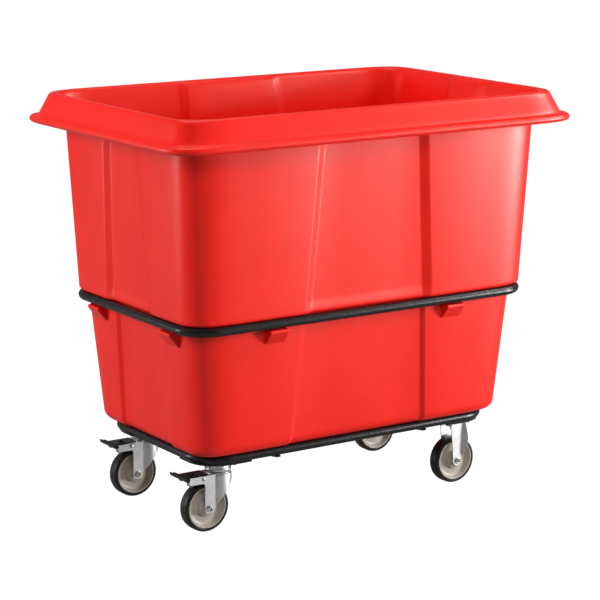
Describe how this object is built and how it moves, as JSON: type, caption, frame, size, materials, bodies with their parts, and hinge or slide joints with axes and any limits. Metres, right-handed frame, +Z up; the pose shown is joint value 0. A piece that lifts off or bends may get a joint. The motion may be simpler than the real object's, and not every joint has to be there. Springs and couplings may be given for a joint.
{
  "type": "bulk tub cart",
  "caption": "Tapered plastic tub cart with a rolled rim and recessed panels, held in a tube frame on two braked swivel casters and two rigid casters.",
  "frame": {"origin": "centre of the footprint box, on the floor under the wheels", "axes": "+X along the length, from the braked swivel casters to the rigid casters; +Y across the width; +Z up"},
  "size_m": [0.97, 0.656, 0.853],
  "materials": {
    "tub_plastic": "fine satin grain, moulded red polyethylene",
    "black_coat": "satin black powder coat",
    "zinc": "bright zinc plate, pressed steel",
    "fasteners": "zinc plated fastener",
    "bare_steel": "oiled steel",
    "tyre": "matte black rubber",
    "hub": "satin moulded nylon, warm grey",
    "bushing": "natural nylon",
    "pedal": "black coated steel"
  },
  "bodies": {
    "root": {"tub": "tub_plastic", "mid_ring": "black_coat", "base_ring": "black_coat", "cross_bar_left": "black_coat", "cross_bar_right": "black_coat", "corner_plate_left_front": "black_coat", "corner_plate_left_rear": "black_coat", "corner_plate_right_front": "black_coat", "corner_plate_right_rear": "black_coat", "tub_bolts": "fasteners", "tub_washers": "fasteners", "tub_spacers": "bare_steel", "tub_nuts": "fasteners", "caster_bolts": "fasteners", "caster_nuts": "fasteners", "swivel_plate_front": "zinc", "upper_race_front": "zinc", "bearing_balls_front": "bare_steel", "kingpin_front": "bare_steel", "swivel_plate_rear": "zinc", "upper_race_rear": "zinc", "bearing_balls_rear": "bare_steel", "kingpin_rear": "bare_steel", "rigid_fork_front": "zinc", "rigid_axle_front": "fasteners", "rigid_nut_front": "fasteners", "rigid_fork_rear": "zinc", "rigid_axle_rear": "fasteners", "rigid_nut_rear": "fasteners"},
    "swivel_front": {"swivel_fork_front": "zinc", "brake_spring_front": "bare_steel", "pedal_pin_front": "fasteners", "swivel_axle_front": "fasteners", "swivel_nut_front": "fasteners"},
    "swivel_rear": {"swivel_fork_rear": "zinc", "brake_spring_rear": "bare_steel", "pedal_pin_rear": "fasteners", "swivel_axle_rear": "fasteners", "swivel_nut_rear": "fasteners"},
    "pedal_front": {"brake_pedal_front": "pedal", "brake_shoe_front": "bare_steel"},
    "pedal_rear": {"brake_pedal_rear": "pedal", "brake_shoe_rear": "bare_steel"},
    "swivel_wheel_front": {"swivel_tyre_front": "tyre", "swivel_hub_front": "hub", "swivel_bushing_front": "bushing"},
    "swivel_wheel_rear": {"swivel_tyre_rear": "tyre", "swivel_hub_rear": "hub", "swivel_bushing_rear": "bushing"},
    "rigid_wheel_front": {"rigid_tyre_front": "tyre", "rigid_hub_front": "hub", "rigid_bushing_front": "bushing"},
    "rigid_wheel_rear": {"rigid_tyre_rear": "tyre", "rigid_hub_rear": "hub", "rigid_bushing_rear": "bushing"}
  },
  "joints": [
    {"name": "swivel_turn_front", "type": "hinge", "parent": "root", "child": "swivel_front", "pos_m": [-0.29571, -0.14591, 0.13], "axis": [0, 0, 1], "continuous": true},
    {"name": "swivel_roll_front", "type": "hinge", "parent": "swivel_front", "child": "swivel_wheel_front", "pos_m": [-0.32821, -0.14591, 0.0508], "axis": [0, 1, 0], "continuous": true},
    {"name": "rigid_roll_front", "type": "hinge", "parent": "root", "child": "rigid_wheel_front", "pos_m": [0.29571, -0.14591, 0.0508], "axis": [0, 1, 0], "continuous": true},
    {"name": "brake_press_front", "type": "hinge", "parent": "swivel_front", "child": "pedal_front", "pos_m": [-0.34221, -0.14591, 0.114], "axis": [0, 1, 0], "range_deg": [-13, 0]},
    {"name": "swivel_turn_rear", "type": "hinge", "parent": "root", "child": "swivel_rear", "pos_m": [-0.29571, 0.14591, 0.13], "axis": [0, 0, 1], "continuous": true},
    {"name": "swivel_roll_rear", "type": "hinge", "parent": "swivel_rear", "child": "swivel_wheel_rear", "pos_m": [-0.32821, 0.14591, 0.0508], "axis": [0, 1, 0], "continuous": true},
    {"name": "rigid_roll_rear", "type": "hinge", "parent": "root", "child": "rigid_wheel_rear", "pos_m": [0.29571, 0.14591, 0.0508], "axis": [0, 1, 0], "continuous": true},
    {"name": "brake_press_rear", "type": "hinge", "parent": "swivel_rear", "child": "pedal_rear", "pos_m": [-0.34221, 0.14591, 0.114], "axis": [0, 1, 0], "range_deg": [-13, 0]}
  ]
}
